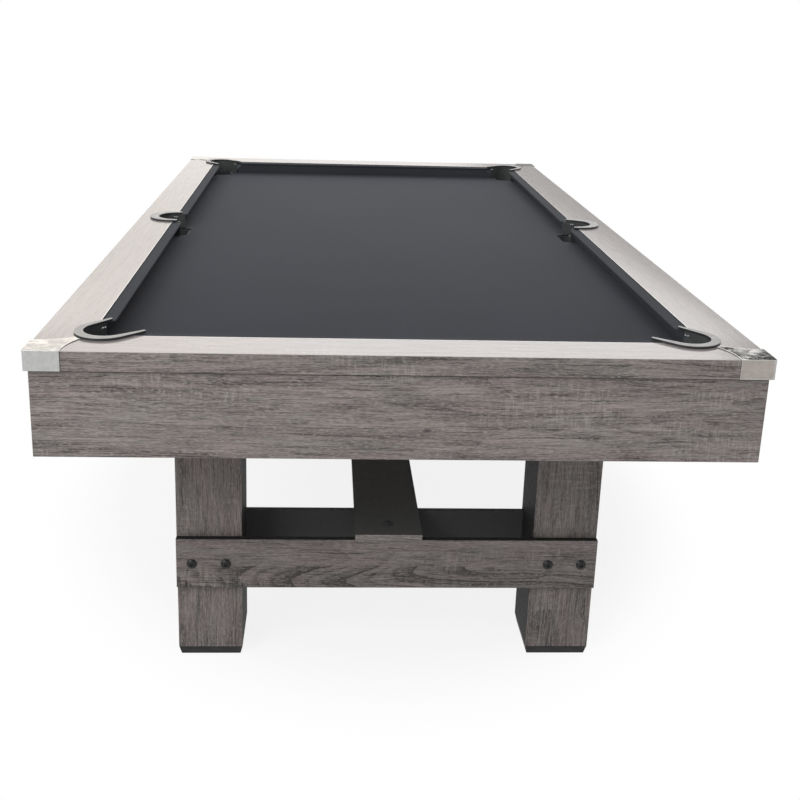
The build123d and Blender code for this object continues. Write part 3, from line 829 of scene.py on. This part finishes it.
dress(side_rail_laminate, "side_rail_left", "side_rail_right")


# Cushions: rubber of triangular section glued to the rail, with the cloth drawn tight over its round nose.
# Their ends are cut back to the pocket mouths at the facing angles.
nose_radius = 0.004
nose_height = 0.036
nose_bevel = 0.62 * nose_radius
toe_gap = 0.0003
crest_drop = 0.0015
corner_facing = radians(37)
side_facing = radians(76)
facing_rounding = 0.0012
blank_drop = 0.002
blank_spare_length = 0.2
blank_spare_height = 0.012
# The cushions' cloth is the bed's cloth lightened by this factor: painted light.
cushion_painted_light = (2.1, 2.12, 1.8)

cloth_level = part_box("bed_cloth")[1].z
cushion_look = {"lift": cushion_painted_light, "sheen_weight": 0.04, **cloth_look}
under_nose = cloth_level + nose_height - nose_radius / 2
cushion_worsted_x = worsted("cushion_worsted_across", along_x, painted_light_below=under_nose, **cushion_look)
cushion_worsted_y = worsted("cushion_worsted_lengthways", along_y, **cushion_look)
low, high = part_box("cushion_rear_end")
half_end = (high.x - low.x) / 2
cushion_depth = high.y - low.y
toe = (cushion_depth, cloth_level + toe_gap)
crest = (cushion_depth, high.z - crest_drop)
nose = (nose_radius, cloth_level + nose_height)


def slope_from(back, side):
    """Point and outward normal of the flat face from a back edge to the round nose."""
    run = back[0] - nose[0]
    rise = back[1] - nose[1]
    angle = atan2(rise, run) + side * acos(nose_radius / hypot(run, rise))
    return (0, back[0], back[1]), (0, cos(angle), sin(angle))


def bevel(width, segments):
    """Rounds the edges that are selected."""
    bpy.ops.mesh.bevel(offset=width, segments=segments, affect="EDGES")


def cushion(name, half_length, first_facing, last_facing):
    """A cushion along X with its nose at Y 0 and its back towards +Y."""
    middle = (0, cushion_depth / 2, (toe[1] + crest[1]) / 2 - blank_drop)
    size = (2 * half_length + blank_spare_length, cushion_depth, crest[1] - toe[1] + blank_spare_height)
    piece = block(name, middle, size)
    planes = [slope_from(crest, 1), slope_from(toe, -1)]
    for end, facing in ((-1, first_facing), (1, last_facing)):
        planes.append(((end * half_length, cushion_depth, 0), (end * sin(facing), -cos(facing), 0)))
    for point, normal in planes:
        edit_all(piece)
        bpy.ops.mesh.bisect(
            plane_co=point, plane_no=normal, use_fill=True, clear_outer=True, threshold=0.000001
        )
    pick(piece, "EDGE", lambda at, way: abs(way.x) > 0.9 and at.y < cushion_depth / 2)
    bevel(nose_bevel, 5)
    ease(piece, facing_rounding, 2, 42)
    return piece


end_cushion = cushion("end_cushion", half_end, corner_facing, corner_facing)
for name, turn in (("rear", 0.0), ("front", pi)):
    low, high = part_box(f"cushion_{name}_end")
    nose_y = low.y if name == "rear" else high.y
    piece = copy_to(end_cushion, f"end_cushion_{name}", (0, nose_y, 0), (0, 0, turn))
    complete(piece, cushion_worsted_x, [f"cushion_{name}_end"])
drop(end_cushion)
low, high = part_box("cushion_rear_right")
half_side = (high.y - low.y) / 2
for corner, (sign_x, sign_y) in corners.items():
    low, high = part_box(f"cushion_{corner}")
    facings = (side_facing, corner_facing) if sign_x * sign_y < 0 else (corner_facing, side_facing)
    piece = cushion(f"side_cushion_{corner}", half_side, *facings)
    nose_x = low.x if sign_x > 0 else high.x
    settle(piece, (nose_x, (low.y + high.y) / 2, 0), (0, 0, -sign_x * pi / 2))
    complete(piece, cushion_worsted_y, [f"cushion_{corner}"])


# Pockets: a black moulded liner against the rails is screwed on through its arms and ends in a bucket
# below the bed. A satin grey iron caps the rail top round each mouth and runs out over the cushions in
# two horns.
liner_wall = 0.003
liner_arm = 0.0215
liner_gap = 0.0005
liner_rounding = 0.0008
bucket_lip = 0.003
bucket_rounding = 0.006
iron_rounding = 0.0009
iron_overhang = 0.003
horn_rounding = 0.0023
screw_radius = 0.0022
screw_height = 0.0015
screw_core = 0.0013
screw_shank = 0.012
screw_length = 0.0145
screw_slot = (0.0029, 0.0007, 0.0015)
screw_pitch = 0.0062
screw_level = 0.033
touch = 0.0001
shapes = {
    "corner": {"radius": 0.044, "flare": radians(8), "edge": 0.013567},
    "side": {"radius": 0.050, "flare": radians(14), "edge": -0.001},
}
shapes["corner"] |= {"front": 0.0432, "horn": 0.038, "side": 0.013, "back": 0.015, "screw": 0.0315}
shapes["side"] |= {"front": 0.035, "horn": 0.013, "side": 0.013, "back": 0.022, "screw": -0.003}

# Dark grey, lifted above the feet's black: partly the plastic's own tone, partly painted light inside the
# shaded pockets.
liner_plastic = moulded_plastic("liner_plastic", (0.068, 0.072, 0.072), (0.098, 0.102, 0.102))
liner_low, liner_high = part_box("pocket_liner_right")
iron_low, iron_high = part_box("pocket_iron_right")
iron_satin, shader, place = new_material("iron_satin", metallic=0.2, specular_ior_level=0.4)
cast = noise(place, (900, 900, 900), 3.0, 0.6)
rub = noise(place, (45, 45, 45), 4.0, 0.65)
iron_colour = blend(cast, (0.25, 0.244, 0.24), (0.34, 0.332, 0.326))
iron_colour = blend(between(rub, 0.45, 0.75, 0.0, 0.4), iron_colour, (0.42, 0.41, 0.40))
# Painted highlight along the iron's top edge, and painted shade on its sides below it.
iron_edge = calc("SUBTRACT", axes_of(place)["Z"], iron_high.z)
iron_colour = blend(between(iron_edge, -0.00005, -0.0004), iron_colour, (0.50, 0.49, 0.48))
iron_colour = blend(between(iron_edge, -0.0007, -0.0013), iron_colour, (0.035, 0.036, 0.038))
surface(shader, iron_colour, between(rub, 0.3, 0.7, 0.48, 0.36), cast, 0.00006, 0.6)


def mouth(shape, reach, grow=0.0):
    """Half-width of the flared throat at a distance from the hole's middle."""
    return (shape["radius"] + grow) / cos(shape["flare"]) + reach * tan(shape["flare"])


def raise_up(piece, height):
    """Draws a flat outline up into a solid, and leaves its top selected."""
    edit_all(piece)
    extrude((0, 0, height))


def iron_piece(name, shape):
    """A flat ring, open towards the field, with a horn on each side of its mouth."""
    reach = shape["edge"] + shape["horn"]
    shift = shape["back"] - shape["side"]
    outer = shape["radius"] + shape["side"]
    inner = mouth(shape, reach - iron_overhang)
    turn = pi - 2 * shape["flare"]
    start = (iron_overhang - shape["radius"] * sin(shape["flare"]), shape["radius"] * cos(shape["flare"]))
    piece = trace(
        name,
        (reach, outer),
        [
            (-shift, outer),
            (-shift, 0, pi),
            (reach, -outer),
            (reach, -inner),
            (start[0], -start[1]),
            (iron_overhang, 0, -turn),
            (reach, inner),
            (reach, outer),
        ],
        iron_low.z,
    )
    raise_up(piece, iron_high.z - iron_low.z)
    tidy(piece)
    pick(piece, "EDGE", lambda at, way: abs(way.z) > 0.9 and at.x > reach - 5 * touch)
    bevel(horn_rounding, 4)
    pick(piece, "EDGE", lambda at, way: at.z > iron_high.z - touch)
    bevel(iron_rounding, 4)
    return piece


def liner_piece(name, shape):
    """Back wall and arms, and the bucket, as one moulding."""
    reach = shape["edge"] + liner_arm
    turn = pi - 2 * shape["flare"]
    radius = shape["radius"]
    inside = (-radius * sin(shape["flare"]), radius * cos(shape["flare"]))
    outside = tuple(value * (radius + liner_wall) / radius for value in inside)
    inner = mouth(shape, reach)
    outer = mouth(shape, reach, liner_wall)
    arms_low = cloth_level + liner_gap
    bucket_top = cloth_level - bucket_lip
    wall = trace(
        name,
        (reach, outer),
        [
            outside,
            (0, 0, turn),
            (reach, -outer),
            (reach, -inner),
            (inside[0], -inside[1]),
            (0, 0, -turn),
            (reach, inner),
            (reach, outer),
        ],
        arms_low,
    )
    raise_up(wall, liner_high.z - arms_low)
    tidy(wall)
    skirt_runs = [(0, 0, turn), (inside[0], -inside[1]), (0, 0, -turn), outside]
    skirt = trace("liner_skirt", outside, skirt_runs, bucket_top)
    raise_up(skirt, bucket_lip + liner_gap)
    tidy(skirt)
    combine(wall, skirt, "UNION")
    ease(wall, liner_rounding, 2, 40)
    opening = acos((shape["front"] + liner_wall) / (radius + liner_wall))
    corner = ((radius + liner_wall) * cos(opening), (radius + liner_wall) * sin(opening))
    bucket = trace("liner_bucket", corner, [(0, 0, 2 * pi - 2 * opening), corner], liner_low.z)
    raise_up(bucket, bucket_top - liner_low.z)
    bpy.ops.mesh.inset(thickness=liner_wall)
    extrude((0, 0, liner_low.z + liner_wall - bucket_top))
    tidy(bucket)
    pick(bucket, "EDGE", lambda at, way: at.z < liner_low.z + touch)
    bevel(bucket_rounding, 4)
    ease(bucket, liner_rounding, 2, 60)
    return join([wall, bucket])


screw = lathe(
    "liner_screw",
    (0, screw_height),
    [
        (screw_radius * 0.45, screw_height * 0.96),
        (screw_radius * 0.82, screw_height * 0.68),
        (screw_radius, screw_height * 0.24),
        (screw_radius, 0),
        (screw_core, 0),
        (screw_core, -screw_shank),
        (0, -screw_length),
    ],
)
for turn in (0, pi / 2):
    combine(screw, block("slot_cutter", (0, 0, screw_height), screw_slot, turn))
for kind, shape in shapes.items():
    iron = iron_piece(f"{kind}_iron", shape)
    liner = liner_piece(f"{kind}_liner", shape)
    for name, spot in pockets.items():
        if (name in ("left", "right")) != (kind == "side"):
            continue
        facing = atan2(-(spot.y > 0.1) + (spot.y < -0.1), -1 if spot.x > 0 else 1)
        turn = (0, 0, facing)
        piece = copy_to(iron, f"pocket_iron_ring_{name}", spot, turn)
        complete(piece, iron_satin, [f"pocket_iron_{name}"])
        piece = copy_to(liner, f"pocket_liner_cup_{name}", spot, turn)
        complete(piece, liner_plastic, [f"pocket_liner_{name}"])
        for side in (-1, 1):
            for row in (0, 1):
                along = shape["screw"] - row * screw_pitch
                head = copy_to(screw, f"liner_screw_{name}_{side + 1}{row}", turn=(side * pi / 2, 0, 0))
                head.matrix_world = (
                    Matrix.Translation(spot)
                    @ Matrix.Rotation(facing, 4, "Z")
                    @ Matrix.Translation((along, side * mouth(shape, along), cloth_level + screw_level))
                    @ Matrix.Rotation(side * shape["flare"], 4, "Z")
                )
                bpy.ops.object.transform_apply(location=True, rotation=True, scale=True)
                complete(head, zinc_plating)
    drop(iron)
    drop(liner)
drop(screw)


# Corner caps: bright plated castings over the rail mitres, with a raised rim round each side face.
# A neck runs in over the rail top and stops against the pocket iron.
cap_leg = 0.065
cap_wall = 0.002
cap_corner = 0.005
cap_neck = 0.016
cap_hollow = 0.009
cap_gap = 0.0003
cap_rounding = 0.0007
cap_rim = 0.0012
cap_panel = 0.0003
cap_flat = 0.085
cap_flat_fade = 0.035

cap_corner_x = rail_high.x
cap_corner_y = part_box("end_rail_rear")[1].y
cap_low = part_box("corner_cap_rear_right")[0].z
cap_chrome, shader, place = new_material("cap_chrome", metallic=1.0)
axes = axes_of(place)
outward = calc("ADD", calc("ABSOLUTE", axes["X"]), calc("ABSOLUTE", axes["Y"]))
flat_neck = cap_corner_x + cap_corner_y - cap_flat
ripple = noise(place, (40, 40, 26), 2.0, 0.5)
ripple = times(ripple, between(outward, flat_neck, flat_neck + cap_flat_fade))
# Smudges, and painted reflection streaks: the plating's colour dims in patches.
smudge_and_painted_reflection = noise(place, (70, 70, 70), 4.0, 0.65)
chrome_colour = blend(smudge_and_painted_reflection, (0.36, 0.36, 0.355), (0.62, 0.615, 0.605))
surface(shader, chrome_colour, between(smudge_and_painted_reflection, 0.35, 0.7, 0.02, 0.07), ripple, 0.0012, 0.2)


def arc_through(first, middle, last):
    """Centre and angle of the arc from the first point through the middle to the last."""
    (ax, ay), (bx, by), (cx, cy) = first, middle, last
    double = 2 * (ax * (by - cy) + bx * (cy - ay) + cx * (ay - by))
    a2, b2, c2 = ax * ax + ay * ay, bx * bx + by * by, cx * cx + cy * cy
    x = (a2 * (by - cy) + b2 * (cy - ay) + c2 * (ay - by)) / double
    y = (a2 * (cx - bx) + b2 * (ax - cx) + c2 * (bx - ax)) / double
    sweep = atan2(cy - y, cx - x) - atan2(ay - y, ax - x)
    return x, y, (sweep + pi) % (2 * pi) - pi


hole_x = pockets["rear_right"].x - cap_corner_x
iron_back = shapes["corner"]["radius"] + shapes["corner"]["back"] + cap_gap
half_angle = asin(cap_neck / 2 / iron_back)
neck_a = (hole_x + iron_back * cos(pi / 4 - half_angle), hole_x + iron_back * sin(pi / 4 - half_angle))
neck_b = neck_a[::-1]
hollow = cap_hollow / sqrt(2)
start_a = (cap_wall, -cap_leg)
start_b = start_a[::-1]
bend_a = ((start_a[0] + neck_a[0]) / 2 - hollow / 2, (start_a[1] + neck_a[1]) / 2 + hollow)
bend_b = bend_a[::-1]
plate = trace(
    "cap_plate",
    start_a,
    [
        (cap_wall, cap_wall - cap_corner),
        (cap_wall - cap_corner, cap_wall - cap_corner, pi / 2),
        start_b,
        arc_through(start_b, bend_b, neck_b),
        (hole_x, hole_x, -2 * half_angle),
        arc_through(neck_a, bend_a, start_a),
    ],
    cap_low,
)
raise_up(plate, rail_high.z + cap_wall - cap_low)
tidy(plate)
rail_size = (2 * cap_leg, 2 * cap_leg, 2 * (rail_high.z - cap_low))
combine(plate, block("cap_rail_block", (-cap_leg, -cap_leg, cap_low), rail_size))
ease(plate, cap_rounding, 3, 40)
for axis in (0, 1):
    pick(plate, "FACE", lambda at, way: way[axis] > 0.9995 and at[axis] > cap_wall - touch)
    bpy.ops.mesh.inset(thickness=cap_rim)
    bpy.ops.mesh.inset(thickness=cap_panel, depth=-cap_panel)
for corner, (sign_x, sign_y) in corners.items():
    turn = (0, 0, atan2(sign_y, sign_x) - pi / 4)
    spot = (sign_x * cap_corner_x, sign_y * cap_corner_y, 0)
    piece = copy_to(plate, f"corner_cap_cover_{corner}", spot, turn)
    complete(piece, cap_chrome, [f"corner_cap_{corner}"])
drop(plate)


# Studio: a pale floor that takes the shadow, an even white room, and soft lamps in front and above.
# The glossy rails mirror a bright panel behind the table, with dark blinds at its upper sides, and the caps
# mirror two cards on the floor. Panel and cards are out of the camera's sight and light nothing else.
floor_size = 60
floor_gap = 0.0005
room_light = 0.36
panel_back = 5.5
panel_left = -3.5
panel_right = 4.5
panel_low = 1.0
panel_top = 4.5
panel_dim = 0.37
panel_middle = 0.515
white = (1, 1, 1, 1)


def seen_directly(tree):
    """One where the camera sees a thing, also mirrored or through glass, and nought for its light."""
    path = add_node("ShaderNodeLightPath", tree=tree).outputs
    seen = calc("MAXIMUM", path["Is Camera Ray"], path["Is Glossy Ray"])
    return calc("MAXIMUM", seen, path["Is Transmission Ray"])


def either(mask, first, second):
    """One of two shaders, by a mask."""
    return add_node("ShaderNodeMixShader", {0: mask, 1: first.outputs[0], 2: second.outputs[0]})


def bare_material(piece, name):
    """Gives a piece of the studio a material with no nodes yet."""
    material = bpy.data.materials.new(name)
    material.use_nodes = True
    material.node_tree.nodes.clear()
    piece.data.materials.append(material)
    return material.node_tree


def shine(tree, colour, strength=1.0):
    """Makes a studio material that only gives light."""
    light = add_node("ShaderNodeEmission", {"Color": colour, "Strength": strength}, tree)
    add_node("ShaderNodeOutputMaterial", {"Surface": light.outputs[0]})


world = bpy.data.worlds.new("room")
bpy.context.scene.world = world
world.use_nodes = True
tree = world.node_tree
tree.nodes.clear()
lit = add_node("ShaderNodeBackground", {"Color": (1.0, 0.995, 0.985, 1), "Strength": room_light}, tree)
shown = add_node("ShaderNodeBackground", {"Color": white, "Strength": 1.0}, tree)
both = either(seen_directly(tree), lit, shown)
add_node("ShaderNodeOutputWorld", {"Surface": both.outputs[0]})

floor = begin("floor", bpy.ops.mesh.primitive_plane_add, size=floor_size, location=(0, 0, -floor_gap))
tree = bare_material(floor, "floor_white")
place = place_on(tree)
scaled = vector_calc("MULTIPLY", place, (1.3, 1.0, 1.0))
away = add_node("ShaderNodeVectorMath", {0: scaled}, operation="LENGTH").outputs["Value"]
dull = add_node("ShaderNodeBsdfDiffuse", {"Color": (0.7, 0.7, 0.7, 1)}, tree)
matt = add_node("ShaderNodeBsdfDiffuse", {"Color": (0.9, 0.9, 0.9, 1)}, tree)
glow = add_node("ShaderNodeEmission", {"Color": white, "Strength": 1.0}, tree)
veil = either(between(away, 0.9, 1.3, 0.85, 1.0), matt, glow)
both = either(seen_directly(tree), dull, veil)
add_node("ShaderNodeOutputMaterial", {"Surface": both.outputs[0]})

panel_start = (panel_left, panel_low)
panel_runs = [(panel_right, panel_low), (panel_right, panel_top), (panel_left, panel_top), panel_start]
panel = trace("bright_panel", panel_start, panel_runs)
settle(panel, (0, panel_back, 0), (pi / 2, 0, 0))
tree = bare_material(panel, "panel_light")
place = place_on(tree)
axes = axes_of(place)
bright = between(axes["Z"], 1.9, 3.0, 1.25, 1.85)
above = calc("MULTIPLY_ADD", axes["X"], -0.6, axes["Z"])
edge = between(above, 0.66, 0.92)
strength = calc("MULTIPLY_ADD", edge, calc("SUBTRACT", bright, panel_dim), panel_dim)
blind = between(noise(place, (5, 1, 14), 3.0, 0.6), 0.48, 0.72, 1.0, 0.6)
aside = calc("ABSOLUTE", calc("SUBTRACT", axes["X"], panel_middle))
lowest = between(aside, 2.69, 2.98, 2.928, 2.960)
blind = times(blind, between(calc("SUBTRACT", axes["Z"], lowest), -0.004, 0.004))
drawn = between(calc("MULTIPLY_ADD", axes["Z"], -1.8, aside), -2.65, -2.60)
drawn = times(drawn, between(axes["X"], -1.0, 1.0, 0.35, 0.97))
strength = times(strength, calc("MULTIPLY_ADD", blind, times(drawn, -1.0), 1.0))
daylight = blend(between(axes["X"], -2.0, 0.4), (1.0, 0.95, 0.89), (1.0, 0.98, 0.96))
shine(tree, daylight, strength)
reflectors = [panel]
for name, spot, reach, tone in (
    ("warm_card", (1.75, -3.6, 0.002), (1.5, 1.6, 1), (0.76, 0.69, 0.64)),
    ("dark_card", (2.9, -0.9, 0.002), (1.8, 3.6, 1), (0.09, 0.095, 0.09)),
):
    card = begin(name, bpy.ops.mesh.primitive_plane_add, size=1, location=spot, scale=reach)
    shine(bare_material(card, name), (*tone, 1))
    reflectors.append(card)
for reflector in reflectors:
    reflector.visible_camera = False
    reflector.visible_shadow = False
    reflector.visible_diffuse = False

for name, spot, aim, size, power in (
    ("front_lamp", (-3.0, -4.0, 3.8), (0, -1, 0.6), 3.0, 165),
    ("top_lamp", (0.4, 2.8, 4.0), (0, 0.4, 0.8), 3.5, 94),
):
    lamp = bpy.data.lights.new(name, "AREA")
    lamp.size = size
    lamp.energy = power
    holder = bpy.data.objects.new(name, lamp)
    bpy.context.scene.collection.objects.link(holder)
    holder.location = spot
    holder.rotation_euler = (Vector(aim) - Vector(spot)).to_track_quat("-Z", "Y").to_euler()

camera_spot = Vector((-0.1482, -3.0790, 1.4256))
camera_yaw = 0.051
camera_pitch = -0.272
camera_roll = 0.029
ahead = Vector((sin(camera_yaw), cos(camera_yaw), 0))
forward = ahead * cos(camera_pitch) + Vector((0, 0, sin(camera_pitch)))
rightward = Vector((cos(camera_yaw), -sin(camera_yaw), 0))
upward = rightward.cross(forward)
right_axis = rightward * cos(camera_roll) + upward * sin(camera_roll)
up_axis = upward * cos(camera_roll) - rightward * sin(camera_roll)
view = Matrix((right_axis, up_axis, -forward)).transposed().to_4x4()
view.translation = camera_spot
camera = bpy.data.cameras.new("photo_camera")
camera.sensor_width = 36.0
camera.lens = 48.13
camera.shift_x = 0.0284
camera.shift_y = -0.1219
camera.clip_end = 200.0
camera_object = bpy.data.objects.new("photo_camera", camera)
bpy.context.scene.collection.objects.link(camera_object)
camera_object.matrix_world = view
bpy.context.scene.camera = camera_object
bpy.context.scene.view_settings.view_transform = "Standard"
